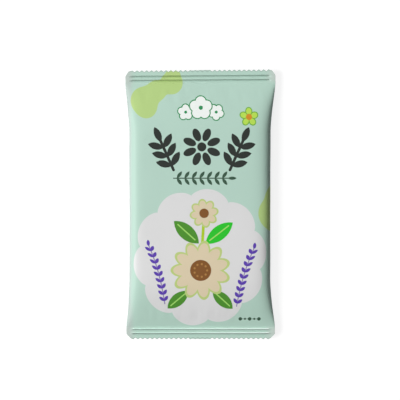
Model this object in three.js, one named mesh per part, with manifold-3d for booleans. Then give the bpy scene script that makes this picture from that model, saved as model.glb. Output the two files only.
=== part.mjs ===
// A sealed sachet that holds one folded wet wipe. One printed film is formed into a tube, joined down the
// back by a fin seal that is folded flat, and pressed flat, crimped and cut with teeth at both ends.
// Millimetres: X runs across the pack, Y towards its top end, Z out of its printed front. The pack lies on
// its back with the origin under its middle.
import * as THREE from 'three';
import { mergeVertices } from 'three/addons/utils/BufferGeometryUtils.js';
import Module from 'manifold-3d';

const wasm = await Module();
wasm.setup();

// The film tube
const flatWidth = 70.2; // width of the tube pressed flat, which is half its girth everywhere
const packLength = 125.8; // from tooth tips to tooth tips

// The filled stretch between the end seals
const taperLength = 24; // from an end seal to where the pack is at its full thickness
const frontDepth = 5.35; // from the plane of the end seals out to the front
const backDepth = 4.05; // from the plane of the end seals down to the back
const frontSquareness = 9; // power of the front's section: higher is flatter, with a tighter shoulder
const backSquareness = 14; // the back lies flatter than the front

// The end seals, each with crimp lines pressed across it
const sealThickness = 0.3;
const topSealLength = 6.4;
const bottomSealLength = 5.7;
const crimpCount = 2;
const crimpPitch = 1.9;
const crimpWidth = 1.2;
const crimpHeight = 0.28;
const topCrimpSetback = 3.5; // from the tooth tips to the first line
const bottomCrimpSetback = 2.6;
const crimpSideMargin = 2.7; // film without crimp lines left at each side
const crimpRunOut = 1.2; // the lines fade over this length at both ends

// The cut ends
const toothPitch = 2.31;
const toothDepth = 0.8;
const cornerRadius = 2.5;
const cornerOverrun = 0.15; // the corner's arc crosses the side fold by this much instead of grazing it

// The fin seal down the back
const finWidth = 10;
const finThickness = 0.3;
const foldRadius = 0.2; // of the fold that lays it flat

// How finely the film is faceted
const columnsPerQuarter = 16;
const columnCrowding = 2.1; // above 1 gathers the columns at the side folds
const taperSteps = 12;
const middleSteps = 4;
const crimpSteps = 6;
const foldArcSegments = 3;
const girthSamples = 400;
const leastStep = 0.02; // sections closer together than this are drawn once

// Worked out from the sizes above
const halfLength = packLength / 2;
const sealPlane = finThickness + backDepth;
const topSealEdge = halfLength - topSealLength;
const bottomSealEdge = bottomSealLength - halfLength;
const trimAllowance = topSealLength; // the tube is made this much longer, then cut to its teeth
const through = 4 * (frontDepth + backDepth + finThickness); // taller than the pack, to cut right through

// Height over the seals' plane at a share of the half width, for a section that is depth high.
function sectionHeight(share, depth, squareness) {
  return depth * Math.sqrt(1 - share ** squareness);
}

// Length of film from the middle of one face out to the side fold. The angle runs evenly to the fold, so the
// steep last stretch is measured as finely as the rest.
function filmToFold(halfWidth, depth, squareness) {
  let length = 0;
  let before = new THREE.Vector2(0, depth);
  for (let i = 1; i <= girthSamples; i++) {
    const share = Math.sin((Math.PI / 2) * (i / girthSamples));
    const point = new THREE.Vector2(halfWidth * share, sectionHeight(share, depth, squareness));
    length += point.distanceTo(before);
    before = point;
  }
  return length;
}

// The film doesn't stretch: where the pack is thick it draws in, so that its girth stays the same.
function halfWidthFor(front, back) {
  let low = flatWidth / 4;
  let high = flatWidth / 2;
  while (high - low > 1e-4) {
    const middle = (low + high) / 2;
    const film = filmToFold(middle, front, frontSquareness) + filmToFold(middle, back, backSquareness);
    if (film > flatWidth) high = middle;
    else low = middle;
  }
  return (low + high) / 2;
}

// 0 at the end seals and 1 in the middle, rising like the first quarter of a sine.
function fillAt(y) {
  const fromSeal = Math.min(topSealEdge - y, y - bottomSealEdge);
  return Math.sin((Math.PI / 2) * THREE.MathUtils.clamp(fromSeal / taperLength, 0, 1));
}

function depthAt(y, fullDepth) {
  return THREE.MathUtils.lerp(sealThickness / 2, fullDepth, fillAt(y));
}

// Middles of the crimp lines. They are pressed in on the top seal and stand up on the bottom one.
function crimpLines() {
  const lines = [];
  for (let i = 0; i < crimpCount; i++) {
    lines.push({ y: halfLength - topCrimpSetback - i * crimpPitch, height: -crimpHeight });
    lines.push({ y: bottomCrimpSetback + i * crimpPitch - halfLength, height: crimpHeight });
  }
  return lines;
}

// How far the crimps move the film of the end seals, front and back alike.
function crimpLift(x, y) {
  const inFromFold = flatWidth / 2 - crimpSideMargin - Math.abs(x);
  const reach = THREE.MathUtils.smoothstep(inFromFold, 0, crimpRunOut);
  let lift = 0;
  for (const line of crimpLines()) {
    const across = Math.min(Math.abs(y - line.y) / (crimpWidth / 2), 1);
    lift += line.height * (1 - across ** 2) * reach;
  }
  return lift;
}

// Places along the pack where its section is drawn, from the bottom end to the top one.
function stationsAlong() {
  const stations = [-halfLength - trimAllowance, halfLength + trimAllowance];
  for (let i = 0; i <= taperSteps; i++) {
    const fromSeal = (taperLength * i) / taperSteps;
    stations.push(bottomSealEdge + fromSeal, topSealEdge - fromSeal);
  }
  const middleStart = bottomSealEdge + taperLength;
  const middleLength = topSealEdge - taperLength - middleStart;
  for (let i = 1; i < middleSteps; i++) stations.push(middleStart + (middleLength * i) / middleSteps);
  for (const line of crimpLines()) {
    for (let i = 0; i <= crimpSteps; i++) stations.push(line.y + crimpWidth * (i / crimpSteps - 0.5));
  }
  stations.sort((a, b) => a - b);
  return stations.filter((y, i) => i === 0 || y - stations[i - 1] > leastStep);
}

// One section of the filled tube, anticlockwise seen from the bottom end: over the front, back under it.
function tubeSection(y) {
  const front = depthAt(y, frontDepth);
  const back = depthAt(y, backDepth);
  const halfWidth = halfWidthFor(front, back);
  const section = [];
  for (let i = 0; i < 4 * columnsPerQuarter; i++) {
    const quarter = Math.floor(i / columnsPerQuarter);
    const within = (i % columnsPerQuarter) / columnsPerQuarter;
    const fromFold = quarter % 2 === 0 ? within : 1 - within;
    const share = 1 - fromFold ** columnCrowding;
    const x = (quarter === 0 || quarter === 3 ? 1 : -1) * halfWidth * share;
    const height = quarter < 2 ? sectionHeight(share, front, frontSquareness)
      : -sectionHeight(share, back, backSquareness);
    section.push(new THREE.Vector2(x, sealPlane + height + crimpLift(x, y)));
  }
  return section;
}

// One section of the fin seal: a flat strip under the back, rounded where it is folded over.
function finSection(y) {
  const lift = crimpLift(0, y);
  const top = sealPlane + lift;
  const outer = sealPlane - depthAt(y, backDepth) - finThickness + lift;
  const side = finWidth / 2;
  const section = [
    new THREE.Vector2(side, top),
    new THREE.Vector2(-side, top),
    new THREE.Vector2(-side, outer),
  ];
  for (let i = 0; i <= foldArcSegments; i++) {
    const angle = (Math.PI / 2) * (i / foldArcSegments - 1);
    section.push(new THREE.Vector2(
      side - foldRadius + foldRadius * Math.cos(angle),
      outer + foldRadius + foldRadius * Math.sin(angle),
    ));
  }
  return section;
}

// A solid skinned over sections that all have the same number of points, closed by a flat cap at each end.
function loft(stations, sectionAt) {
  const sections = stations.map(sectionAt);
  const count = sections[0].length;
  const positions = [];
  sections.forEach((section, k) => section.forEach((p) => positions.push(p.x, stations[k], p.y)));
  const index = [];
  for (let k = 0; k + 1 < sections.length; k++) {
    for (let i = 0; i < count; i++) {
      const a = k * count + i;
      const b = k * count + ((i + 1) % count);
      index.push(a, a + count, b, b, a + count, b + count);
    }
  }
  const last = (sections.length - 1) * count;
  for (const [a, b, c] of THREE.ShapeUtils.triangulateShape(sections[0], [])) index.push(a, b, c);
  for (const [a, b, c] of THREE.ShapeUtils.triangulateShape(sections.at(-1), [])) {
    index.push(last + a, last + c, last + b);
  }
  const geometry = new THREE.BufferGeometry();
  geometry.setAttribute('position', new THREE.Float32BufferAttribute(positions, 3));
  geometry.setIndex(index);
  return geometry;
}

function solidFrom(geometry) {
  const bare = geometry.clone();
  bare.deleteAttribute('normal');
  bare.deleteAttribute('uv');
  const merged = mergeVertices(bare, 1e-4);
  return new wasm.Manifold(new wasm.Mesh({
    numProp: 3,
    vertProperties: new Float32Array(merged.attributes.position.array),
    triVerts: new Uint32Array(merged.index.array),
  }));
}

function geometryFrom(solid) {
  const mesh = solid.getMesh();
  const geometry = new THREE.BufferGeometry();
  geometry.setAttribute('position', new THREE.BufferAttribute(new Float32Array(mesh.vertProperties), 3));
  geometry.setIndex(new THREE.BufferAttribute(new Uint32Array(mesh.triVerts), 1));
  geometry.computeVertexNormals();
  return geometry;
}

// The cut outline seen from the front: teeth along both ends and round corners, clear of the side folds.
function cutOutline() {
  const side = halfWidthFor(sealThickness / 2, sealThickness / 2) + cornerOverrun;
  const cornerX = side - cornerRadius;
  const cornerY = halfLength - toothDepth / 2 - cornerRadius;
  const teeth = Math.max(1, Math.round((2 * cornerX) / toothPitch));
  const outline = new THREE.Shape();
  outline.moveTo(side, -cornerY);
  for (const end of [1, -1]) {
    const start = end > 0 ? 0 : Math.PI;
    outline.lineTo(end * side, end * cornerY);
    outline.absarc(end * cornerX, end * cornerY, cornerRadius, start, start + Math.PI / 2, false);
    for (let i = 0; i < teeth; i++) {
      const tip = cornerX - (2 * cornerX * (i + 0.5)) / teeth;
      const root = cornerX - (2 * cornerX * (i + 1)) / teeth;
      const rootDepth = i + 1 < teeth ? toothDepth : toothDepth / 2;
      outline.lineTo(end * tip, end * halfLength);
      outline.lineTo(end * root, end * (halfLength - rootDepth));
    }
    outline.absarc(-end * cornerX, end * cornerY, cornerRadius, start + Math.PI / 2, start + Math.PI, false);
  }
  outline.closePath();
  return outline;
}

function cutToTeeth(solid) {
  const cutter = new THREE.ExtrudeGeometry(cutOutline(), { depth: through, bevelEnabled: false });
  cutter.translate(0, 0, -through / 2);
  return solid.intersect(solidFrom(cutter));
}

const printedFilm = new THREE.MeshStandardMaterial({ color: 0xb4d3c6, roughness: 0.38, metalness: 0 });

const stations = stationsAlong();
const tube = solidFrom(loft(stations, tubeSection));
const fin = solidFrom(loft(stations, finSection));
const sachet = new THREE.Mesh(geometryFrom(cutToTeeth(tube.add(fin))), printedFilm);
sachet.name = 'sachet';

const pack = new THREE.Group();
pack.add(sachet);

export default pack;
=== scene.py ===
import math
import bpy
import numpy as np
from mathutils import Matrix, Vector


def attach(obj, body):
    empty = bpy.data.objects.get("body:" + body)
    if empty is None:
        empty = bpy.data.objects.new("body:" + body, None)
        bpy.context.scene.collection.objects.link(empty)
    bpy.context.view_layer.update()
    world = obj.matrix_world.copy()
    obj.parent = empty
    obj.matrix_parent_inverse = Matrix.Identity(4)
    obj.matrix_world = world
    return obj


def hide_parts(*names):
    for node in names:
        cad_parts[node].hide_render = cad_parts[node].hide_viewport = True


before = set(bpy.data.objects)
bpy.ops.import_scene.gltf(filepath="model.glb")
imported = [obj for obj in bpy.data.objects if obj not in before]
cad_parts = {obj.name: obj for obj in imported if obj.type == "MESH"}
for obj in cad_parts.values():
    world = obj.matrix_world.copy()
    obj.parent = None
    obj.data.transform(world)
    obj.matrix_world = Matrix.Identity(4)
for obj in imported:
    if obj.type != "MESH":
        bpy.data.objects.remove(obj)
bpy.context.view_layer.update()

mm = 0.001
print("stage: frame loaded")


# Small helpers that the node trees share
def feed(tree, socket, value):
    if isinstance(value, bpy.types.NodeSocket):
        tree.links.new(value, socket)
    else:
        socket.default_value = value


def calc(tree, operation, *values, clamp=False):
    node = tree.nodes.new("ShaderNodeMath")
    node.operation = operation
    node.use_clamp = clamp
    for socket, value in zip(node.inputs, values):
        feed(tree, socket, value)
    return node.outputs[0]


def plus(tree, a, b):
    return calc(tree, "ADD", a, b)


def minus(tree, a, b):
    return calc(tree, "SUBTRACT", a, b)


def times(tree, a, *values):
    for value in values:
        a = calc(tree, "MULTIPLY", a, value)
    return a


def divide(tree, a, b, clamp=False):
    return calc(tree, "DIVIDE", a, b, clamp=clamp)


def absolute(tree, a):
    return calc(tree, "ABSOLUTE", a)


def vectorCalc(tree, operation, *values):
    node = tree.nodes.new("ShaderNodeVectorMath")
    node.operation = operation
    for socket, value in zip(node.inputs, values):
        feed(tree, socket, value)
    return node.outputs["Value" if operation == "LENGTH" else "Vector"]


def combine(tree, x=0.0, y=0.0, z=0.0):
    node = tree.nodes.new("ShaderNodeCombineXYZ")
    for socket, value in zip(node.inputs, (x, y, z)):
        feed(tree, socket, value)
    return node.outputs[0]


def lengthOf(tree, x, y):
    return vectorCalc(tree, "LENGTH", combine(tree, x, y))


def split(tree, vector):
    node = tree.nodes.new("ShaderNodeSeparateXYZ")
    feed(tree, node.inputs[0], vector)
    return node.outputs[0], node.outputs[1], node.outputs[2]


def ramp(tree, value, start, end, low=0.0, high=1.0, smooth=True):
    node = tree.nodes.new("ShaderNodeMapRange")
    node.interpolation_type = "SMOOTHSTEP" if smooth else "LINEAR"
    names = ("Value", "From Min", "From Max", "To Min", "To Max")
    for name, given in zip(names, (value, start, end, low, high)):
        feed(tree, node.inputs[name], given)
    return node.outputs["Result"]


def noise(tree, vector, scale, detail, seed=None):
    node = tree.nodes.new("ShaderNodeTexNoise")
    feed(tree, node.inputs["Vector"], vector)
    if seed is not None:
        node.noise_dimensions = "4D"
        feed(tree, node.inputs["W"], seed)
    feed(tree, node.inputs["Scale"], scale)
    feed(tree, node.inputs["Detail"], detail)
    return node.outputs[0]


def titled(key):  # toothDepth names the socket Tooth Depth
    return "".join(" " + letter if letter.isupper() else letter for letter in key).title()


def floatInputs(sizes, unit=1.0):
    return [(titled(key), "NodeSocketFloat", value * unit) for key, value in sizes.items()]


def floatOutputs(*names):
    return [(name, "NodeSocketFloat") for name in names]


def newGroup(name, kind, inputs, outputs):
    tree = bpy.data.node_groups.new(name, kind)
    for socketName, socketType, value in inputs:
        socket = tree.interface.new_socket(name=socketName, in_out="INPUT", socket_type=socketType)
        if value is not None:
            socket.default_value = value
    for socketName, socketType in outputs:
        tree.interface.new_socket(name=socketName, in_out="OUTPUT", socket_type=socketType)
    return tree, tree.nodes.new("NodeGroupInput").outputs, tree.nodes.new("NodeGroupOutput")


def srgb(text):
    values = [int(text[i:i + 2], 16) / 255 for i in (0, 2, 4)]
    return tuple(v / 12.92 if v <= 0.04045 else ((v + 0.055) / 1.055) ** 2.4 for v in values) + (1.0,)


# The camera looks down on the pack from a little nearer its top end
cameraSet = {
    "distance": 0.80,
    "tilt": 3.0,           # degrees from straight down
    "frameWidth": 0.1868,  # what the picture takes in at the pack
    "sensorWidth": 36.0,
    "clipStart": 0.01,
    "aim": (0.0, 0.00250, 0.0043),
}


def makeCamera():
    data = bpy.data.cameras.new("packCamera")
    data.sensor_width = cameraSet["sensorWidth"]
    data.lens = data.sensor_width * cameraSet["distance"] / cameraSet["frameWidth"]
    data.clip_start = cameraSet["clipStart"]
    camera = bpy.data.objects.new("packCamera", data)
    bpy.context.scene.collection.objects.link(camera)
    tilt = math.radians(cameraSet["tilt"])
    aim = Vector(cameraSet["aim"])
    camera.location = aim + cameraSet["distance"] * Vector((0.0, math.sin(tilt), math.cos(tilt)))
    camera.rotation_euler = (-tilt, 0.0, 0.0)
    bpy.context.scene.camera = camera


makeCamera()
print("stage: camera")


# The film tube of the sachet, in millimetres. It follows the solid, with tighter shoulders
filmTube = {
    "flatWidth": 70.9,
    "packLength": 125.8,
    "taperLength": 24.0,
    "frontDepth": 5.35,
    "backDepth": 4.05,
    "frontRightSquareness": 13.0,
    "frontLeftSquareness": 21.0,
    "backSquareness": 14.0,
    "sealThickness": 0.3,
    "topSealLength": 6.4,
    "bottomSealLength": 5.7,
    "plainCorner": 2.1,      # the teeth stop this far from the fold
    "topCornerCut": (1.75, 2.9),  # across and along
    "bottomCornerCut": (2.3, 2.75),
    "cornerRounding": 1.15,  # 1 is a straight cut, 2 a round one
    "cornerOverrun": 0.03,
    "toothPitch": 2.31,
    "columnsPerTooth": 4,
    "cornerColumns": 9,
    "cornerCrowding": 2.1,
    "sealStep": 0.15,
    "taperStep": 0.6,
    "middleStep": 1.2,
    "arcSamples": 401,       # for the length of film round a section
    "unrollMargin": 1.004,   # keeps the unrolled film inside its map
    "widthTolerance": 1e-5,
}

# The fin seal down the back
finSeal = {
    "width": 10.0,
    "thickness": 0.3,
    "foldRadius": 0.2,
    "rowStep": 0.22,
    "ridgePitch": 1.1,
    "ridgeHeight": 0.07,
    "plainMargin": 0.9,
    "marginFade": 1.4,       # the knurl is whole this many margins in
    "facingDown": -0.5,      # and only where the face looks down more than this
    "flatColumns": 14,
    "foldColumns": 5,
}

# Crimp lines, teeth and slack that both the tube and the fin take, in millimetres
sealForms = {
    "toothDepth": 0.8,
    "linePitch": 1.9,
    "topTipSide": 0.50,      # from a line's crest to its foot on the side of the tip
    "topPackSide": 0.60,
    "bottomTipSide": 0.45,
    "bottomPackSide": 0.30,
    "topLineHeight": -0.66,
    "bottomLineHeight": 0.60,
    "topSetback": 3.08,
    "bottomSetback": 2.94,
    "sideMargin": 2.3,
    "runOut": 0.6,
    "topRise": 0.225,
    "drawInStart": 25.0,     # from the tip
    "drawInFull": 10.0,
    "gatherHeight": 0.10,
    "gatherReach": 13.0,
    "slackHeight": 0.12,
    "slackStart": 12.0,      # full this far from a seal
}

# The numbers of the same forms that aren't lengths
sealShares = {
    "lineCount": 2.0,
    "crestRounding": 1.1,
    "topSkew": 0.0080,       # the top seal rises to the right by this much a millimetre
    "topLeftDrawIn": 0.0205,  # share that each side draws in by at the seals
    "bottomLeftDrawIn": 0.0270,
    "rightDrawIn": 0.0100,
    "lastToothPull": 0.5,    # beside the corner
    "pullReach": 1.2,        # of a line's foot, where the pull of the teeth ends
    "gatherRise": 0.3,
    "noiseGain": 4.0,
    "slackScale": 42.0,
    "seed": 4.0,
    "slackSeed": 7.0,
}
gatherStretch = (230.0, 28.0, 260.0)  # gathers run along the pack

halfLength = filmTube["packLength"] / 2
sealPlane = finSeal["thickness"] + filmTube["backDepth"]
topSealEdge = halfLength - filmTube["topSealLength"]
bottomSealEdge = filmTube["bottomSealLength"] - halfLength


def sectionHeight(share, depth, squareness):
    return depth * np.sqrt(np.clip(1 - share ** squareness, 0, None))


def filmToFold(halfWidth, depth, squareness):
    share = np.sin(np.linspace(0, math.pi / 2, filmTube["arcSamples"]))
    height = sectionHeight(share, depth, squareness)
    return np.hypot(np.diff(halfWidth * share), np.diff(height)).sum()


def halfWidthFor(front, back):  # the girth stays the same, so a thick place is a narrow one
    low, high = filmTube["flatWidth"] / 4, filmTube["flatWidth"] / 2
    while high - low > filmTube["widthTolerance"]:
        middle = (low + high) / 2
        film = filmToFold(middle, front, filmTube["frontRightSquareness"])
        film += filmToFold(middle, front, filmTube["frontLeftSquareness"])
        film += 2 * filmToFold(middle, back, filmTube["backSquareness"])
        low, high = (low, middle) if film > 2 * filmTube["flatWidth"] else (middle, high)
    return (low + high) / 2


def fillAt(y):
    fromSeal = min(topSealEdge - y, y - bottomSealEdge)
    return math.sin(math.pi / 2 * min(max(fromSeal / filmTube["taperLength"], 0), 1))


def depthAt(y, fullDepth):
    return filmTube["sealThickness"] / 2 * (1 - fillAt(y)) + fullDepth * fillAt(y)


sealHalfWidth = halfWidthFor(filmTube["sealThickness"] / 2, filmTube["sealThickness"] / 2)
foldX = sealHalfWidth + filmTube["cornerOverrun"]
cornerX = foldX - filmTube["plainCorner"]
teethCount = round(2 * cornerX / filmTube["toothPitch"])
toothPitch = 2 * cornerX / teethCount


def filmRows():
    taper = filmTube["taperLength"]
    edges = [-halfLength, bottomSealEdge, bottomSealEdge + taper, topSealEdge - taper, topSealEdge, halfLength]
    steps = [filmTube[name] for name in ("sealStep", "taperStep", "middleStep", "taperStep", "sealStep")]
    rows = [np.linspace(a, b, max(2, math.ceil((b - a) / step)) + 1)[:-1]
            for a, b, step in zip(edges, edges[1:], steps)]
    return np.append(np.concatenate(rows), halfLength)


def faceShares():  # places across one face, as shares of the half width, from the right fold to the left
    flat = np.linspace(cornerX, -cornerX, teethCount * filmTube["columnsPerTooth"] + 1) / sealHalfWidth
    steps = np.arange(filmTube["cornerColumns"]) / filmTube["cornerColumns"]
    fold = 1 - (1 - flat[0]) * steps ** filmTube["cornerCrowding"]
    return np.concatenate([fold, flat, -fold[::-1]])


def cornerDrop(x, cornerCut):  # how much a corner takes off the end
    width, height = cornerCut
    power = filmTube["cornerRounding"]
    past = np.clip((np.abs(x) - (foldX - width)) / width, 0, 1)
    return height * (1 - (1 - past ** power) ** (1 / power))


def meshFrom(name, points, faces, places=None, unrolled=None):
    mesh = bpy.data.meshes.new(name)
    mesh.from_pydata((np.asarray(points) * mm).tolist(), [], faces)
    mesh.polygons.foreach_set("use_smooth", [True] * len(mesh.polygons))
    if places is not None:
        attribute = mesh.attributes.new("filmPlace", "FLOAT_VECTOR", "CORNER")
        attribute.data.foreach_set("vector", np.asarray(places, np.float32).ravel())
        layer = mesh.uv_layers.new(name="OFBake")
        layer.uv.foreach_set("vector", np.asarray(unrolled, np.float32).ravel())
    mesh.update()
    obj = bpy.data.objects.new(name, mesh)
    bpy.context.scene.collection.objects.link(obj)
    return obj


def markSharp(obj, edges):
    wanted = {tuple(sorted(e)) for e in edges}
    flags = [tuple(sorted(e.vertices)) in wanted for e in obj.data.edges]
    attribute = obj.data.attributes.new("sharp_edge", "BOOLEAN", "EDGE")
    attribute.data.foreach_set("value", flags)


def makeFilmTube():
    shares = faceShares()
    last = len(shares) - 1          # index of the left fold
    count = 2 * last
    ringShare = np.concatenate([shares, shares[-2:0:-1]])
    onFront = np.arange(count) <= last
    right, left = filmTube["frontRightSquareness"], filmTube["frontLeftSquareness"]
    squareness = np.where(ringShare > 0, right, left)
    rows = filmRows()
    points, around = [], []
    for y in rows:
        front, back = depthAt(y, filmTube["frontDepth"]), depthAt(y, filmTube["backDepth"])
        halfWidth = halfWidthFor(front, back)
        x = halfWidth * ringShare
        up = sectionHeight(np.abs(ringShare), front, squareness)
        down = -sectionHeight(np.abs(ringShare), back, filmTube["backSquareness"])
        z = sealPlane + np.where(onFront, up, down)
        edge = topSealEdge if y > 0 else bottomSealEdge
        cornerCut = filmTube["topCornerCut" if y > 0 else "bottomCornerCut"]
        cut = min(max((abs(y) - abs(edge)) / (halfLength - abs(edge)), 0), 1)
        yy = y - math.copysign(1, y) * cut * cornerDrop(x, cornerCut)
        points.append(np.stack([x, yy, z], 1))
        ring = np.concatenate([points[-1][:, [0, 2]], points[-1][:1, [0, 2]]])
        length = np.concatenate([[0], np.cumsum(np.hypot(*np.diff(ring, axis=0).T))])
        around.append(length)       # from the right fold, over the front, round to the right fold
    faces, places = [], []
    girth = 2 * filmTube["flatWidth"]

    def unroll(k, i):               # 0 on the front's middle line, more to the right
        return girth / 4 - around[k][i] * girth / around[k][-1]

    for k in range(len(rows) - 1):
        for i in range(count):
            j = (i + 1) % count
            corners = [(k, i), (k + 1, i), (k + 1, j), (k, j)]
            faces.append([a * count + b for a, b in corners])
            middle = i >= last + last // 2   # past the back's middle line
            for a, b in corners:
                index = count if (b == 0 and i == count - 1) else b
                places.append((unroll(a, index) + (girth if middle else 0), points[a][b][1], 0.0))
    sharp = []
    for k, turn in ((0, 1), (len(rows) - 1, -1)):
        base = k * count
        strips = [[0, 1, count - 1]] + [[i, i + 1, count - i - 1, count - i] for i in range(1, last - 1)]
        strips.append([last - 1, last, last + 1])
        for strip in strips:
            strip = strip[::turn]
            faces.append([base + i for i in strip])
            for i in strip:
                places.append((unroll(k, i if i <= last else count - i), points[k][i][1], 0.0))
        sharp += [(base + i, base + (i + 1) % count) for i in range(count)]
    places = np.array(places)
    unrolled = 0.5 + places[:, :2] / (girth, filmTube["packLength"]) / filmTube["unrollMargin"]
    obj = meshFrom("sachetFilm", np.concatenate(points), faces, places, unrolled)
    markSharp(obj, sharp)
    return obj


def makeFin():
    side, radius = finSeal["width"] / 2, finSeal["foldRadius"]
    rows = np.linspace(-halfLength, halfLength, math.ceil(filmTube["packLength"] / finSeal["rowStep"]) + 1)
    points = []
    for y in rows:
        outer = sealPlane - depthAt(y, filmTube["backDepth"]) - finSeal["thickness"]
        ring = [(side, sealPlane), (-side, sealPlane), (-side, outer)]
        ring += [(x, outer) for x in np.linspace(-side, side - radius, finSeal["flatColumns"])[1:-1]]
        ring += [(side - radius + radius * math.cos(a), outer + radius + radius * math.sin(a))
                 for a in np.linspace(-math.pi / 2, 0, finSeal["foldColumns"])]
        points.append([(x, y, z) for x, z in ring])
    count = len(points[0])
    faces = []
    for k in range(len(rows) - 1):
        for i in range(count):
            j = (i + 1) % count
            faces.append([k * count + i, (k + 1) * count + i, (k + 1) * count + j, k * count + j])
    faces.append(list(range(count)))
    faces.append([(len(rows) - 1) * count + i for i in reversed(range(count))])
    obj = meshFrom("finSeal", np.concatenate(points), faces)
    sharp = []
    for k in (0, len(rows) - 1):
        sharp += [(k * count + i, k * count + (i + 1) % count) for i in range(count)]
    for k in range(len(rows) - 1):
        sharp += [(k * count + i, (k + 1) * count + i) for i in (0, 1, 2)]
    markSharp(obj, sharp)
    return obj


# Geometry Nodes: crimp lines, teeth and slack, from where a point of the film lies
def makeSealFormsTree():
    tree, size, result = newGroup("sealForms", "GeometryNodeTree", [
        ("Geometry", "NodeSocketGeometry", None),
        *floatInputs(sealForms, mm),
        *floatInputs(sealShares),
        *floatInputs({
            "halfLength": halfLength, "halfWidth": filmTube["flatWidth"] / 2, "toothPitch": toothPitch,
            "teethReach": cornerX, "sealLength": filmTube["topSealLength"],
        }, mm),
        ("Material", "NodeSocketMaterial", None),
    ], [("Geometry", "NodeSocketGeometry")])
    position = tree.nodes.new("GeometryNodeInputPosition").outputs[0]
    normal = tree.nodes.new("GeometryNodeInputNormal").outputs[0]
    x, y = split(tree, position)[:2]
    absX, absY = absolute(tree, x), absolute(tree, y)
    isTop = calc(tree, "GREATER_THAN", y, 0.0)
    fromTip = minus(tree, size["Half Length"], absY)

    def byEnd(top, bottom):
        return calc(tree, "MULTIPLY_ADD", isTop, minus(tree, size[top], size[bottom]), size[bottom])

    # crimp lines
    setback = byEnd("Top Setback", "Bottom Setback")
    fromFirst = minus(tree, fromTip, setback)
    lineIndex = calc(tree, "ROUND", divide(tree, fromFirst, size["Line Pitch"]))
    lineIndex = calc(tree, "MAXIMUM", lineIndex, 0.0)
    lineIndex = calc(tree, "MINIMUM", lineIndex, minus(tree, size["Line Count"], 1.0))
    offLine = minus(tree, fromFirst, times(tree, lineIndex, size["Line Pitch"]))
    tipSide, packSide = byEnd("Top Tip Side", "Bottom Tip Side"), byEnd("Top Pack Side", "Bottom Pack Side")
    onPackSide = calc(tree, "GREATER_THAN", offLine, 0.0)
    foot = calc(tree, "MULTIPLY_ADD", onPackSide, minus(tree, packSide, tipSide), tipSide)
    across = divide(tree, absolute(tree, offLine), foot, clamp=True)
    arch = minus(tree, 1.0, calc(tree, "POWER", across, size["Crest Rounding"]))
    inFromFold = minus(tree, minus(tree, size["Half Width"], size["Side Margin"]), absX)
    reach = ramp(tree, inFromFold, 0.0, size["Run Out"])
    height = byEnd("Top Line Height", "Bottom Line Height")
    lift = times(tree, arch, reach, height)

    # teeth: a triangle wave across the pack that pulls the last rows in
    held = calc(tree, "MINIMUM", absX, size["Teeth Reach"])
    turns = divide(tree, plus(tree, held, size["Teeth Reach"]), size["Tooth Pitch"])
    wave = times(tree, absolute(tree, minus(tree, calc(tree, "FRACT", turns), 0.5)), 2.0)
    wave = calc(tree, "MAXIMUM", wave, calc(tree, "GREATER_THAN", absX, size["Teeth Reach"]))
    lastTooth = minus(tree, size["Teeth Reach"], times(tree, size["Tooth Pitch"], 0.5))
    cornerShare = ramp(tree, absX, lastTooth, size["Teeth Reach"], 1.0, size["Last Tooth Pull"], smooth=False)
    zone = minus(tree, setback, times(tree, tipSide, size["Pull Reach"]))
    nearTip = ramp(tree, fromTip, zone, 0.0, smooth=False)
    pull = times(tree, wave, cornerShare, size["Tooth Depth"], nearTip, calc(tree, "SIGN", y))

    # the top seal sits a little askew, and both sides draw in at the ends
    nearSeal = ramp(tree, fromTip, size["Draw In Start"], size["Draw In Full"])
    leftShare = byEnd("Top Left Draw In", "Bottom Left Draw In")
    drawIn = times(tree, calc(tree, "MINIMUM", x, 0.0), leftShare)
    drawIn = calc(tree, "MULTIPLY_ADD", calc(tree, "MAXIMUM", x, 0.0), size["Right Draw In"], drawIn)
    drawIn = times(tree, drawIn, nearSeal)
    slant = calc(tree, "MULTIPLY_ADD", x, size["Top Skew"], size["Top Rise"])
    slant = times(tree, slant, times(tree, isTop, nearSeal))

    # gathers that start at a seal and die out, and slack over the wipe
    fromSeal = minus(tree, fromTip, size["Seal Length"])
    grown = times(tree, size["Gather Reach"], size["Gather Rise"])
    rise = ramp(tree, fromSeal, 0.0, grown)
    fade = ramp(tree, fromSeal, grown, size["Gather Reach"], 1.0, 0.0)
    stretched = vectorCalc(tree, "MULTIPLY", position, gatherStretch)
    gather = minus(tree, noise(tree, stretched, scale=1.0, detail=1.0, seed=size["Seed"]), 0.5)
    gather = times(tree, gather, times(tree, rise, fade))
    gather = times(tree, gather, times(tree, size["Gather Height"], size["Noise Gain"]))
    slack = minus(tree, noise(tree, position, size["Slack Scale"], detail=1.0, seed=size["Slack Seed"]), 0.5)
    inside = ramp(tree, fromSeal, 0.0, size["Slack Start"])
    slack = times(tree, slack, times(tree, inside, size["Noise Gain"]), size["Slack Height"])
    out = vectorCalc(tree, "SCALE", normal)
    feed(tree, out.node.inputs["Scale"], plus(tree, gather, slack))
    shift = combine(tree, times(tree, drawIn, -1.0), minus(tree, slant, pull), lift)
    offset = vectorCalc(tree, "ADD", shift, out)

    move = tree.nodes.new("GeometryNodeSetPosition")
    feed(tree, move.inputs["Geometry"], size["Geometry"])
    feed(tree, move.inputs["Offset"], offset)
    finishTree(tree, move.outputs[0], size["Material"], result)
    return tree


def finishTree(tree, geometry, material, result):
    real = tree.nodes.new("GeometryNodeRealizeInstances")
    dress = tree.nodes.new("GeometryNodeSetMaterial")
    tree.links.new(geometry, real.inputs[0])
    tree.links.new(real.outputs[0], dress.inputs["Geometry"])
    tree.links.new(material, dress.inputs["Material"])
    tree.links.new(dress.outputs[0], result.inputs[0])


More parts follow.
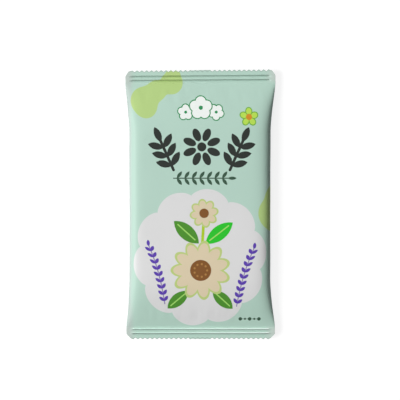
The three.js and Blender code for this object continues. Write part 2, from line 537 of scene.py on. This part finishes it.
# The fin's knurl is pressed in across it, then it takes the seals' forms
def makeFinFormsTree(sealTree):
    tree, size, result = newGroup("finForms", "GeometryNodeTree", [
        ("Geometry", "NodeSocketGeometry", None),
        *floatInputs({key: finSeal[key] for key in ("ridgePitch", "ridgeHeight", "plainMargin", "width")}, mm),
        *floatInputs({key: finSeal[key] for key in ("marginFade", "facingDown")}),
        ("Material", "NodeSocketMaterial", None),
    ], [("Geometry", "NodeSocketGeometry")])
    position = tree.nodes.new("GeometryNodeInputPosition").outputs[0]
    normal = tree.nodes.new("GeometryNodeInputNormal").outputs[0]
    x, y = split(tree, position)[:2]
    turn = times(tree, divide(tree, y, size["Ridge Pitch"]), 2 * math.pi)
    ridge = calc(tree, "MULTIPLY_ADD", calc(tree, "COSINE", turn), 0.5, 0.5)
    inside = minus(tree, times(tree, size["Width"], 0.5), absolute(tree, x))
    masked = ramp(tree, inside, size["Plain Margin"], times(tree, size["Plain Margin"], size["Margin Fade"]))
    under = calc(tree, "LESS_THAN", split(tree, normal)[2], size["Facing Down"])
    raised = times(tree, ridge, masked, times(tree, under, size["Ridge Height"]))
    move = tree.nodes.new("GeometryNodeSetPosition")
    feed(tree, move.inputs["Geometry"], size["Geometry"])
    feed(tree, move.inputs["Offset"], combine(tree, 0.0, 0.0, raised))
    forms = tree.nodes.new("GeometryNodeGroup")
    forms.node_tree = sealTree
    feed(tree, forms.inputs["Geometry"], move.outputs[0])
    feed(tree, forms.inputs["Material"], size["Material"])
    forms.inputs["Gather Height"].default_value = 0.0
    forms.inputs["Slack Height"].default_value = 0.0
    finishTree(tree, forms.outputs[0], size["Material"], result)
    return tree


def applyTree(obj, tree, values):
    modifier = obj.modifiers.new(tree.name, "NODES")
    modifier.node_group = tree
    sockets = {s.name: s.identifier for s in tree.interface.items_tree if s.in_out == "INPUT"}
    for name, value in values.items():
        modifier[sockets[name]] = value
    bpy.context.view_layer.update()
    evaluated = obj.evaluated_get(bpy.context.evaluated_depsgraph_get())
    plain = bpy.data.meshes.new_from_object(evaluated)
    obj.modifiers.remove(modifier)
    old = obj.data
    obj.data = plain
    name = old.name
    bpy.data.meshes.remove(old)
    plain.name = name


# Shader groups for the print. Points are film coordinates in millimetres; each mask is 1 inside its shape
def localPoint(tree, size):
    moved = vectorCalc(tree, "SUBTRACT", size["Point"], size["Centre"])
    turned = tree.nodes.new("ShaderNodeVectorRotate")
    turned.rotation_type = "Z_AXIS"
    feed(tree, turned.inputs["Vector"], moved)
    feed(tree, turned.inputs["Angle"], times(tree, size["Turn"], -math.pi / 180))
    return split(tree, turned.outputs[0])[:2]


inkEdge = 0.05  # how softly a printed edge ends, in millimetres
softEdge = 0.15

# Proportions of the motifs
motif = {
    "veinReach": 0.36,    # as a share of the leaf
    "veinHalf": 0.35,     # as a share of the line
    "tipLeaf": 0.6,       # how far the last leaf stands off the stem, in half leaves
    "stemFoot": -0.45,    # where the stem begins, in pitches
    "lobePower": 0.7,
    "everySecond": -0.4,  # how much smaller every second bead is
}


def motifGroup(name, sizes, *outputs):
    return newGroup(name, "ShaderNodeTree", [
        ("Point", "NodeSocketVector", None), ("Centre", "NodeSocketVector", None),
        *floatInputs({"turn": 0.0, **sizes}),
    ], floatOutputs(*outputs))


def putMask(tree, result, name, distance, edge=inkEdge):
    feed(tree, result.inputs[name], ramp(tree, distance, edge, -edge))


def fillAndLine(tree, distance, size, result):
    putMask(tree, result, "Fill", distance)
    half = times(tree, size["Line"], 0.5)
    off = absolute(tree, plus(tree, distance, half))
    putMask(tree, result, "Line", minus(tree, off, half))


def makeDiscGroup():  # an ellipse
    tree, size, result = motifGroup("printDisc", {
        "halfWidth": 1.0, "halfHeight": 1.0, "line": 0.5,
    }, "Fill", "Line")
    x, y = localPoint(tree, size)
    share = lengthOf(tree, divide(tree, x, size["Half Width"]), divide(tree, y, size["Half Height"]))
    least = calc(tree, "MINIMUM", size["Half Width"], size["Half Height"])
    distance = times(tree, minus(tree, share, 1.0), least)
    fillAndLine(tree, distance, size, result)
    return tree


def leafDistance(tree, x, y, length, width):  # where two round arcs meet in two points
    halfL = times(tree, length, 0.5)
    halfW = times(tree, width, 0.5)
    squares = plus(tree, times(tree, halfL, halfL), times(tree, halfW, halfW))
    radius = divide(tree, squares, width)
    inset = minus(tree, radius, halfW)
    away = lengthOf(tree, x, plus(tree, absolute(tree, y), inset))
    return minus(tree, away, radius)


def makeLeafGroup():
    tree, size, result = motifGroup("printLeaf", {
        "length": 10.0, "width": 4.0, "line": 0.4,
    }, "Fill", "Line", "Vein")
    x, y = localPoint(tree, size)
    distance = leafDistance(tree, x, y, size["Length"], size["Width"])
    fillAndLine(tree, distance, size, result)
    onVein = minus(tree, absolute(tree, y), times(tree, size["Line"], motif["veinHalf"]))
    beyond = minus(tree, absolute(tree, x), times(tree, size["Length"], motif["veinReach"]))
    putMask(tree, result, "Vein", calc(tree, "MAXIMUM", onVein, beyond))
    return tree


def makePetalsGroup():  # one petal repeated round a centre
    tree, size, result = motifGroup("printPetals", {
        "count": 8.0, "inner": 2.0, "length": 8.0, "width": 4.0, "line": 0.5,
    }, "Fill", "Line")
    x, y = localPoint(tree, size)
    step = divide(tree, 2 * math.pi, size["Count"])
    angle = calc(tree, "ARCTAN2", y, x)
    index = calc(tree, "ROUND", divide(tree, angle, step))
    within = minus(tree, angle, times(tree, index, step))
    away = lengthOf(tree, x, y)
    along = times(tree, away, calc(tree, "COSINE", within))
    side = times(tree, away, calc(tree, "SINE", within))
    halfL = times(tree, size["Length"], 0.5)
    halfW = times(tree, size["Width"], 0.5)
    off = minus(tree, minus(tree, along, size["Inner"]), halfL)
    share = lengthOf(tree, divide(tree, off, halfL), divide(tree, side, halfW))
    distance = times(tree, minus(tree, share, 1.0), halfW)
    fillAndLine(tree, distance, size, result)
    return tree


def makeSprigGroup():  # pairs of leaves up a stem, with one at its tip
    tree, size, result = motifGroup("printSprig", {
        "length": 16.0, "pairs": 3.0, "leafLength": 6.0, "leafWidth": 2.4, "leafTurn": 40.0,
        "stem": 0.8, "bend": 0.0,
    }, "Leaves", "Stem")
    x, y = localPoint(tree, size)             # the stem runs up +Y from the centre
    share = divide(tree, y, size["Length"], clamp=True)
    bow = times(tree, times(tree, share, share), size["Bend"])
    x = absolute(tree, minus(tree, x, bow))
    pitch = divide(tree, size["Length"], size["Pairs"])
    radians = times(tree, size["Leaf Turn"], math.pi / 180)
    cosine, sine = calc(tree, "COSINE", radians), calc(tree, "SINE", radians)
    half = times(tree, size["Leaf Length"], 0.5)
    root = calc(tree, "ROUND", divide(tree, minus(tree, y, times(tree, half, sine)), pitch))
    root = calc(tree, "MAXIMUM", root, 0.0)
    root = calc(tree, "MINIMUM", root, minus(tree, size["Pairs"], 1.0))
    up = minus(tree, y, times(tree, root, pitch))
    along = plus(tree, times(tree, x, cosine), times(tree, up, sine))
    side = minus(tree, times(tree, up, cosine), times(tree, x, sine))
    pair = leafDistance(tree, minus(tree, along, half), side, size["Leaf Length"], size["Leaf Width"])
    tip = minus(tree, minus(tree, y, size["Length"]), times(tree, half, motif["tipLeaf"]))
    last = leafDistance(tree, tip, x, size["Leaf Length"], size["Leaf Width"])
    putMask(tree, result, "Leaves", calc(tree, "MINIMUM", pair, last))
    onStem = calc(tree, "MAXIMUM", y, times(tree, pitch, motif["stemFoot"]))
    beyond = minus(tree, y, calc(tree, "MINIMUM", onStem, size["Length"]))
    putMask(tree, result, "Stem", minus(tree, lengthOf(tree, x, beyond), times(tree, size["Stem"], 0.5)))
    return tree


def makePatchGroup():  # three discs run together into one soft patch
    tree, size, result = newGroup("printPatch", "ShaderNodeTree", [
        ("Point", "NodeSocketVector", None),
        ("Disc A", "NodeSocketVector", None),   # x, y and radius
        ("Disc B", "NodeSocketVector", None),
        ("Disc C", "NodeSocketVector", None),
        ("Blend", "NodeSocketFloat", 6.0),
    ], floatOutputs("Fill"))
    px, py = split(tree, size["Point"])[:2]
    distance = None
    for name in ("Disc A", "Disc B", "Disc C"):
        cx, cy, radius = split(tree, size[name])
        disc = minus(tree, lengthOf(tree, minus(tree, px, cx), minus(tree, py, cy)), radius)
        distance = disc if distance is None else calc(tree, "SMOOTH_MIN", distance, disc, size["Blend"])
    putMask(tree, result, "Fill", distance, softEdge)
    return tree


def makePanelGroup():  # a pale panel with a scalloped edge
    tree, size, result = motifGroup("printPanel", {
        "halfWidth": 28.0, "halfHeight": 28.0, "lobes": 9.0, "lobeHeight": 0.1,
    }, "Fill")
    x, y = localPoint(tree, size)
    sx, sy = divide(tree, x, size["Half Width"]), divide(tree, y, size["Half Height"])
    away = lengthOf(tree, sx, sy)
    angle = calc(tree, "ARCTAN2", sy, sx)
    lobe = absolute(tree, calc(tree, "COSINE", times(tree, angle, times(tree, size["Lobes"], 0.5))))
    lobe = calc(tree, "POWER", lobe, motif["lobePower"])
    edge = calc(tree, "MULTIPLY_ADD", lobe, size["Lobe Height"], minus(tree, 1.0, size["Lobe Height"]))
    distance = times(tree, minus(tree, away, edge), size["Half Width"])
    putMask(tree, result, "Fill", distance, softEdge)
    return tree


def makeBeadsGroup():  # a thin rule, and beads along it: a middle one and Reach more to each side
    tree, size, result = motifGroup("printBeads", {
        "pitch": 3.0, "reach": 4.0, "bead": 0.8, "rule": 0.3,
    }, "Fill")
    x, y = localPoint(tree, size)
    index = calc(tree, "ROUND", divide(tree, x, size["Pitch"]))
    index = calc(tree, "MAXIMUM", index, times(tree, size["Reach"], -1.0))
    index = calc(tree, "MINIMUM", index, size["Reach"])
    off = minus(tree, x, times(tree, index, size["Pitch"]))
    odd = calc(tree, "PINGPONG", index, 1.0)
    radius = times(tree, size["Bead"], calc(tree, "MULTIPLY_ADD", odd, motif["everySecond"], 1.0))
    bead = minus(tree, lengthOf(tree, off, y), radius)
    past = minus(tree, absolute(tree, x), times(tree, size["Reach"], size["Pitch"]))
    onRule = minus(tree, absolute(tree, y), times(tree, size["Rule"], 0.5))
    putMask(tree, result, "Fill", calc(tree, "MINIMUM", bead, calc(tree, "MAXIMUM", past, onRule)))
    return tree


# The strips beside the crimp lines that take the painted shade and painted highlight
crimpPaintedStrip = {
    "reach": 32.7,           # to each side, in millimetres
    "fade": (0.6, 1.4),      # across, as shares of its half width
    "endFade": (-0.2, 0.6),  # in millimetres
}


def makeCrimpPaintedLightGroup():  # the strip beside each crimp line of one end, where shade and highlight are painted
    tree, size, result = newGroup("crimpPaintedLight", "ShaderNodeTree", [
        ("Point", "NodeSocketVector", None),
        *floatInputs({"end": 1.0, "tip": halfLength, "setback": 3.5, "pitch": 1.9, "count": 2.0, "shift": 0.0,
                      "halfWidth": 0.3, "sideReach": 32.0}),
    ], floatOutputs("Fill"))
    u, v = split(tree, size["Point"])[:2]
    fromTip = minus(tree, size["Tip"], times(tree, v, size["End"]))
    fromFirst = minus(tree, minus(tree, fromTip, size["Setback"]), size["Shift"])
    index = calc(tree, "ROUND", divide(tree, fromFirst, size["Pitch"]))
    index = calc(tree, "MAXIMUM", index, 0.0)
    index = calc(tree, "MINIMUM", index, minus(tree, size["Count"], 1.0))
    off = absolute(tree, minus(tree, fromFirst, times(tree, index, size["Pitch"])))
    inner, outer = (times(tree, size["Half Width"], share) for share in crimpPaintedStrip["fade"])
    strip = ramp(tree, off, inner, outer, 1.0, 0.0)
    fold = filmTube["flatWidth"] / 2
    fromFold = absolute(tree, minus(tree, absolute(tree, u), fold))
    inFromFold = minus(tree, fromFold, minus(tree, fold, size["Side Reach"]))
    feed(tree, result.inputs["Fill"], times(tree, strip, ramp(tree, inFromFold, *crimpPaintedStrip["endFade"])))
    return tree


# What the film is like apart from its print
filmFinish = {
    "roughness": 0.54,
    "specular": 0.18,
    "coatWeight": 0.04,
    "coatRoughness": 0.22,
    "bumpDistance": 0.00002,
    "grain": 0.5,            # height of the fine grain
    "grainScale": 2600.0,
    "grainRoughness": 0.06,
    "creaseHeight": 0.6,     # of the creases from handling
    "creaseScale": 220.0,
    "creaseStretch": (1.0, 0.4, 1.0),
    "creaseRoughness": 0.10,
    "cloudScale": 60.0,      # a slow change of shade
    "cloudShade": (0.03, 0.985),  # by how much, and from where
}


def makeFilmSurfaceGroup():
    tree, size, result = newGroup("filmSurface", "ShaderNodeTree", [
        ("Ink", "NodeSocketColor", (0.5, 0.7, 0.6, 1.0)),
        *floatInputs({"grain": 1.0, "baseRoughness": 0.36}),
    ], [("Color", "NodeSocketColor"), *floatOutputs("Roughness", "Height")])
    place = tree.nodes.new("ShaderNodeTexCoord").outputs["Object"]
    cloud = noise(tree, place, filmFinish["cloudScale"], detail=2.0)
    grain = noise(tree, place, filmFinish["grainScale"], detail=2.0)
    stretched = vectorCalc(tree, "MULTIPLY", place, filmFinish["creaseStretch"])
    crease = noise(tree, stretched, filmFinish["creaseScale"], detail=3.0)
    shade = tree.nodes.new("ShaderNodeHueSaturation")
    feed(tree, shade.inputs["Value"], calc(tree, "MULTIPLY_ADD", cloud, *filmFinish["cloudShade"]))
    feed(tree, shade.inputs["Color"], size["Ink"])
    feed(tree, result.inputs["Color"], shade.outputs[0])
    rough = size["Base Roughness"]
    for pattern, amount in ((crease, filmFinish["creaseRoughness"]), (grain, filmFinish["grainRoughness"])):
        rough = calc(tree, "MULTIPLY_ADD", minus(tree, pattern, 0.5), amount, rough)
    feed(tree, result.inputs["Roughness"], rough)
    height = calc(tree, "MULTIPLY_ADD", crease, filmFinish["creaseHeight"], times(tree, grain, size["Grain"]))
    feed(tree, result.inputs["Height"], height)
    return tree


# The inks
printColours = {
    "mint": "B5D3C5",
    "leftSealGrey": "B9C8C0",
    "rightSealGrey": "C4D2CA",
    # painted shade at the toothed tips
    "paintedTipShade": "93A69D",
    "lime": "B3CF84",
    "panel": "DCDCDC",
    "charcoal": "232824",
    "forest": "35503F",
    "blossomGreen": "2F8A55",
    "blossomWhite": "EFF4F0",
    "freshLime": "B7DD56",
    "limeLine": "6BA83E",
    "orange": "D08A2A",
    "beige": "DACBAC",
    "petalLine": "B9CC7E",
    "brown": "7C5026",
    "seed": "A87A42",
    "leafDark": "4A8A2C",
    "leafBright": "2ABF2C",
    "leafVein": "9FD66A",
    "stem": "A8C828",
    "violet": "5B3FA8",
    "violetStem": "8C80B0",
}

veinWidth = 0.8


# Each of these gives one or more layers: a group, its mask, an ink and the sizes
def patch(discA, discB, discC, blend):
    return "printPatch", "Fill", "lime", {"Disc A": discA, "Disc B": discB, "Disc C": discC, "Blend": blend}


def dot(x, y, radius, colour):
    return "printDisc", "Fill", colour, {"Centre": (x, y, 0.0), "Half Width": radius, "Half Height": radius}


def petals(x, y, turn, count, inner, length, width):
    return {"Centre": (x, y, 0.0), "Turn": turn, "Count": count,
            "Inner": inner, "Length": length, "Width": width}


def blossom(sizes, line, middle, colours):
    x, y = sizes["Centre"][:2]
    return [("printPetals", "Fill", colours[0], sizes),
            ("printPetals", "Line", colours[1], {**sizes, "Line": line}),
            dot(x, y, middle, colours[2])]


def leaf(x, y, turn, length, width, colour):
    sizes = {"Centre": (x, y, 0.0), "Turn": turn, "Length": length, "Width": width}
    return [("printLeaf", "Fill", colour, sizes),
            ("printLeaf", "Vein", "leafVein", {**sizes, "Line": veinWidth})]


def sprig(x, y, turn, length, pairs, stem, leaves, colours, bend=0.0):  # leaves: their length, width and turn
    sizes = {"Centre": (x, y, 0.0), "Turn": turn, "Length": length, "Pairs": pairs, "Bend": bend}
    leafSizes = dict(zip(("Leaf Length", "Leaf Width", "Leaf Turn"), leaves))
    return [("printSprig", "Stem", colours[0], {**sizes, "Stem": stem}),
            ("printSprig", "Leaves", colours[1], {**sizes, **leafSizes})]


whiteBlossom = ("blossomWhite", "blossomGreen", "blossomGreen")
limeBlossom = ("freshLime", "limeLine", "orange")
beigeFlower = ("beige", "petalLine", "brown")
violetSpray = ("violetStem", "violet")

# The print on the front, from the lowest ink to the top one. Places and sizes are in millimetres on the film
printLayers = [
    # lime patches, the last one running round the right side
    patch((-26.9, 49.2, 6.0), (-25.1, 45.3, 4.6), (-20.6, 53.4, 4.8), 5.0),
    patch((-20.6, 53.4, 4.8), (-13.5, 56.9, 5.3), (-12.7, 61.4, 3.0), 3.0),
    patch((35.2, -3.4, 8.4), (36.5, -4.0, 7.8), (37.0, 3.0, 7.2), 2.0),
    # the pale panel
    ("printPanel", "Fill", "panel", {"Centre": (-0.3, -24.2, 0.0), "Turn": 8.0, "Half Width": 31.2,
                                     "Half Height": 32.4, "Lobes": 10.0, "Lobe Height": 0.10}),
    # a row of white blossoms, and a lime one at the upper right
    *blossom(petals(-6.9, 43.4, 20.0, 5.0, 0.1, 3.9, 3.98), 0.5, 0.66, whiteBlossom),
    *blossom(petals(7.3, 43.4, 52.0, 5.0, 0.1, 3.9, 3.98), 0.5, 0.66, whiteBlossom),
    *blossom(petals(0.2, 45.4, 90.0, 5.0, 0.1, 5.6, 5.71), 0.5, 0.95, whiteBlossom),
    *blossom(petals(22.5, 41.2, 18.0, 5.0, 0.6, 3.9, 3.3), 0.4, 1.4, limeBlossom),
    # a dark flower between two sprigs, with a garland under it
    *sprig(-13.4, 18.6, 24.0, 13.6, 3.0, 1.3, (7.6, 3.2, 38.0), ("charcoal", "charcoal")),
    *sprig(14.4, 18.6, -24.0, 13.6, 3.0, 1.3, (7.6, 3.2, 38.0), ("charcoal", "charcoal")),
    ("printPetals", "Fill", "charcoal", petals(0.5, 27.4, 22.5, 8.0, 2.9, 6.2, 3.5)),
    dot(0.5, 27.4, 2.1, "charcoal"),
    *sprig(-11.0, 12.9, -90.0, 24.5, 7.0, 0.5, (3.9, 1.5, 36.0), ("forest", "forest")),
    # flowers and leaves on the panel, between two violet sprays
    *sprig(-17.0, -44.4, 7.0, 27.0, 9.0, 0.5, (3.0, 1.5, 48.0), violetSpray, bend=-4.0),
    *sprig(17.2, -45.6, -8.0, 27.0, 9.0, 0.5, (3.0, 1.5, 48.0), violetSpray, bend=4.0),
    ("printSprig", "Stem", "stem", {"Centre": (0.0, -30.0, 0.0), "Turn": -3.5, "Length": 25.0, "Pairs": 3.0,
                                    "Stem": 1.3}),
    *leaf(-6.6, -12.2, 138.0, 15.5, 6.8, "leafDark"),
    *leaf(8.6, -12.6, 38.0, 16.0, 6.6, "leafBright"),
    *leaf(10.4, -43.8, -42.0, 13.0, 5.8, "leafDark"),
    *leaf(-10.6, -43.8, 220.0, 13.0, 5.8, "leafDark"),
    *blossom(petals(1.6, -3.4, 10.0, 8.0, 1.0, 5.8, 4.2), 0.6, 2.2, beigeFlower),
    *blossom(petals(0.0, -30.0, 16.0, 11.0, 2.6, 11.4, 6.4), 0.7, 4.9, beigeFlower),
    ("printPetals", "Fill", "seed", petals(0.0, -30.0, 0.0, 9.0, 2.5, 1.0, 1.0)),
    # a short row of beads at the lower right
    ("printBeads", "Fill", "forest", {"Centre": (23.4, -53.1, 0.0), "Pitch": 2.2, "Reach": 2.0, "Bead": 0.85,
                                      "Rule": 0.2}),
]

# Painted shade darkens the film beside the crimp lines, and a painted highlight makes it paler over the bottom
# ridges, more so towards the right
crimpShadeAndHighlight = [
    {"end": 1.0, "setback": "topSetback", "shift": -0.26, "halfWidth": 0.28,
     "leftPaintedLight": (0.64, 0.64, 0.64), "rightPaintedLight": (0.64, 0.64, 0.64)},
    {"end": -1.0, "setback": "bottomSetback", "shift": -0.21, "halfWidth": 0.22,
     "leftPaintedLight": (0.42, 0.42, 0.42), "rightPaintedLight": (0.54, 0.54, 0.54)},
    {"end": -1.0, "setback": "bottomSetback", "shift": 0.17, "halfWidth": 0.17,
     "leftPaintedLight": (1.40, 1.34, 1.39), "rightPaintedLight": (1.90, 1.53, 1.70)},
]

# Along its left fold the film is painted paler as a highlight, and darker and greyer towards the seals as
# painted shade
leftFoldPaintedLight = {
    "width": 1.3,            # full as far as here from the fold
    "fade": 4.4,
    "middle": (1.17, 1.0, 1.08),
    "end": (1.03, 0.88, 0.95),
    "endStart": 19.0,        # before the seals
    "endFull": 7.0,
    "onSeal": 0.25,          # what is left of it over the seals
}

# Greyer film over the seals beside the folds, and painted shade darkening the toothed tips
edgeTints = {
    "sealStart": -1.0,       # from a seal's inner edge
    "sealFull": 2.5,
    "sideFull": 0.2,         # from a side fold
    "sideEnd": 5.6,
    "tipShadeStart": 0.7,         # from the tip
    "tipShadeFull": 0.25,
    "tipShadeAmount": 0.6,
}
white = (1.0, 1.0, 1.0, 1.0)

groups = {}


def shaderGroup(tree, name):
    node = tree.nodes.new("ShaderNodeGroup")
    node.node_tree = groups[name]
    return node


def mixColour(tree, factor, below, above):
    node = tree.nodes.new("ShaderNodeMix")
    node.data_type = "RGBA"
    feed(tree, node.inputs["Factor"], factor)
    feed(tree, node.inputs[6], below)
    feed(tree, node.inputs[7], above)
    return node.outputs[2]


def newMaterial(name):
    material = bpy.data.materials.new(name)
    material.use_nodes = True
    material.node_tree.nodes.clear()
    tree = material.node_tree
    shader = tree.nodes.new("ShaderNodeBsdfPrincipled")
    output = tree.nodes.new("ShaderNodeOutputMaterial")
    tree.links.new(shader.outputs[0], output.inputs["Surface"])
    return material, tree, shader


def finishFilm(tree, shader, ink):
    surface = shaderGroup(tree, "filmSurface")
    feed(tree, surface.inputs["Ink"], ink)
    surface.inputs["Grain"].default_value = filmFinish["grain"]
    surface.inputs["Base Roughness"].default_value = filmFinish["roughness"]
    bump = tree.nodes.new("ShaderNodeBump")
    bump.inputs["Distance"].default_value = filmFinish["bumpDistance"]
    feed(tree, bump.inputs["Height"], surface.outputs["Height"])
    feed(tree, shader.inputs["Base Color"], surface.outputs["Color"])
    feed(tree, shader.inputs["Roughness"], surface.outputs["Roughness"])
    feed(tree, shader.inputs["Normal"], bump.outputs[0])
    shader.inputs["Specular IOR Level"].default_value = filmFinish["specular"]
    shader.inputs["Coat Weight"].default_value = filmFinish["coatWeight"]
    shader.inputs["Coat Roughness"].default_value = filmFinish["coatRoughness"]


def makePrintedFilm():
    material, tree, shader = newMaterial("printedFilm")
    film = tree.nodes.new("ShaderNodeAttribute")
    film.attribute_name = "filmPlace"
    point = film.outputs["Vector"]
    u, v = split(tree, point)[:2]
    ink = srgb(printColours["mint"])
    absU, absV = absolute(tree, u), absolute(tree, v)
    sealFade = topSealEdge + edgeTints["sealStart"], topSealEdge + edgeTints["sealFull"]
    seal = ramp(tree, absV, *sealFade)
    fromFold = absolute(tree, minus(tree, absU, filmTube["flatWidth"] / 2))
    side = ramp(tree, fromFold, edgeTints["sideFull"], edgeTints["sideEnd"], 1.0, 0.0)
    rightward = ramp(tree, u, -cornerX, cornerX, smooth=False)
    grey = mixColour(tree, rightward, srgb(printColours["leftSealGrey"]), srgb(printColours["rightSealGrey"]))
    ink = mixColour(tree, times(tree, seal, side), ink, grey)
    for name, mask, colour, sizes in printLayers:
        shape = shaderGroup(tree, name)
        feed(tree, shape.inputs["Point"], point)
        for key, value in sizes.items():
            shape.inputs[key].default_value = value
        ink = mixColour(tree, shape.outputs[mask], ink, srgb(printColours[colour]))
    # painted shade and painted highlight along the crimp lines
    for crimp in crimpShadeAndHighlight:
        strip = shaderGroup(tree, "crimpPaintedLight")
        feed(tree, strip.inputs["Point"], point)
        for key, value in (("End", crimp["end"]), ("Setback", sealForms[crimp["setback"]]),
                           ("Pitch", sealForms["linePitch"]), ("Count", sealShares["lineCount"]),
                           ("Shift", crimp["shift"]), ("Half Width", crimp["halfWidth"]),
                           ("Side Reach", crimpPaintedStrip["reach"])):
            strip.inputs[key].default_value = value
        paintedLightColour = mixColour(tree, rightward, crimp["leftPaintedLight"] + (1.0,), crimp["rightPaintedLight"] + (1.0,))
        shade = mixColour(tree, strip.outputs["Fill"], white, paintedLightColour)
        ink = vectorCalc(tree, "MULTIPLY", ink, shade)
    # painted highlight along the left fold, turning to painted shade towards the seals
    paintedFoldMask = ramp(tree, fromFold, leftFoldPaintedLight["width"], leftFoldPaintedLight["fade"], 1.0, 0.0)
    onSeal = ramp(tree, absV, *sealFade, 1.0, leftFoldPaintedLight["onSeal"])
    paintedFoldMask = times(tree, calc(tree, "LESS_THAN", u, 0.0), paintedFoldMask, onSeal)
    nearEnd = ramp(tree, absV, topSealEdge - leftFoldPaintedLight["endStart"], topSealEdge - leftFoldPaintedLight["endFull"])
    paintedLightColour = mixColour(tree, nearEnd, leftFoldPaintedLight["middle"] + (1.0,), leftFoldPaintedLight["end"] + (1.0,))
    ink = vectorCalc(tree, "MULTIPLY", ink, mixColour(tree, paintedFoldMask, white, paintedLightColour))
    # painted shade along the toothed tips of the seals
    tipShadeStart, tipShadeFull = halfLength - edgeTints["tipShadeStart"], halfLength - edgeTints["tipShadeFull"]
    paintedTipShade = ramp(tree, absV, tipShadeStart, tipShadeFull, 0.0, edgeTints["tipShadeAmount"])
    ink = mixColour(tree, paintedTipShade, ink, srgb(printColours["paintedTipShade"]))
    finishFilm(tree, shader, ink)
    return material


def makePlainFilm():
    material, tree, shader = newMaterial("plainFilm")
    finishFilm(tree, shader, srgb(printColours["mint"]))
    return material


for makeGroup in (makeDiscGroup, makeLeafGroup, makePetalsGroup, makeSprigGroup, makePatchGroup, makePanelGroup,
                  makeBeadsGroup, makeCrimpPaintedLightGroup, makeFilmSurfaceGroup):
    group = makeGroup()
    groups[group.name] = group
printedFilm = makePrintedFilm()
plainFilm = makePlainFilm()
print("stage: materials")

sealTree = makeSealFormsTree()
finTree = makeFinFormsTree(sealTree)
film = makeFilmTube()
applyTree(film, sealTree, {"Material": printedFilm})
fin = makeFin()
applyTree(fin, finTree, {"Material": plainFilm})
for piece in (film, fin):
    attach(piece, "root")
    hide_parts("sachet")
print("stage: film", len(film.data.polygons), "faces, fin", len(fin.data.polygons), "faces")


# A pale floor, and soft light from the left
studio = {
    "floorSize": 3.0,
    "floorColour": 0.25,
    "floorGlow": 0.84,
    "keyPower": 40.2,
    "keySize": 0.9,
    "keyPlace": (-1.32, -0.10, 1.40),
    "endPower": 7.0,
    "endSize": 0.35,
    "endPlace": (-0.15, 1.40, 0.75),
    "worldStrength": 0.07,
}


def seenOrMirrored(tree):
    path = tree.nodes.new("ShaderNodeLightPath")
    seen = calc(tree, "MAXIMUM", path.outputs["Is Camera Ray"], path.outputs["Is Glossy Ray"])
    return calc(tree, "MAXIMUM", seen, path.outputs["Is Transmission Ray"])


def makeFloor():
    half = studio["floorSize"] / 2
    mesh = bpy.data.meshes.new("studioFloor")
    corners = [(-half, -half, 0), (half, -half, 0), (half, half, 0), (-half, half, 0)]
    mesh.from_pydata(corners, [], [(0, 1, 2, 3)])
    floor = bpy.data.objects.new("studioFloor", mesh)
    bpy.context.scene.collection.objects.link(floor)
    material = bpy.data.materials.new("paleFloor")
    material.use_nodes = True
    tree = material.node_tree
    tree.nodes.clear()
    diffuse = tree.nodes.new("ShaderNodeBsdfDiffuse")
    diffuse.inputs["Color"].default_value = (studio["floorColour"],) * 3 + (1.0,)
    glow = tree.nodes.new("ShaderNodeEmission")
    feed(tree, glow.inputs["Strength"], times(tree, seenOrMirrored(tree), studio["floorGlow"]))
    add = tree.nodes.new("ShaderNodeAddShader")
    output = tree.nodes.new("ShaderNodeOutputMaterial")
    tree.links.new(diffuse.outputs[0], add.inputs[0])
    tree.links.new(glow.outputs[0], add.inputs[1])
    tree.links.new(add.outputs[0], output.inputs["Surface"])
    mesh.materials.append(material)


def makeLamp(name, place, size, power):
    data = bpy.data.lights.new(name, "AREA")
    data.shape = "SQUARE"
    data.size = size
    data.energy = power
    lamp = bpy.data.objects.new(name, data)
    bpy.context.scene.collection.objects.link(lamp)
    lamp.location = place
    lamp.rotation_euler = (-Vector(place)).to_track_quat("-Z", "Y").to_euler()


def makeLights():
    makeLamp("keyLight", studio["keyPlace"], studio["keySize"], studio["keyPower"])
    makeLamp("endLight", studio["endPlace"], studio["endSize"], studio["endPower"])
    world = bpy.data.worlds.new("studioWorld")
    world.use_nodes = True
    background = world.node_tree.nodes["Background"]
    background.inputs["Color"].default_value = white
    seen = seenOrMirrored(world.node_tree)
    strength = ramp(world.node_tree, seen, 0.0, 1.0, studio["worldStrength"], 1.0, smooth=False)
    feed(world.node_tree, background.inputs["Strength"], strength)
    bpy.context.scene.world = world


makeFloor()
makeLights()
bpy.context.scene.view_settings.view_transform = "Standard"
print("stage: studio")
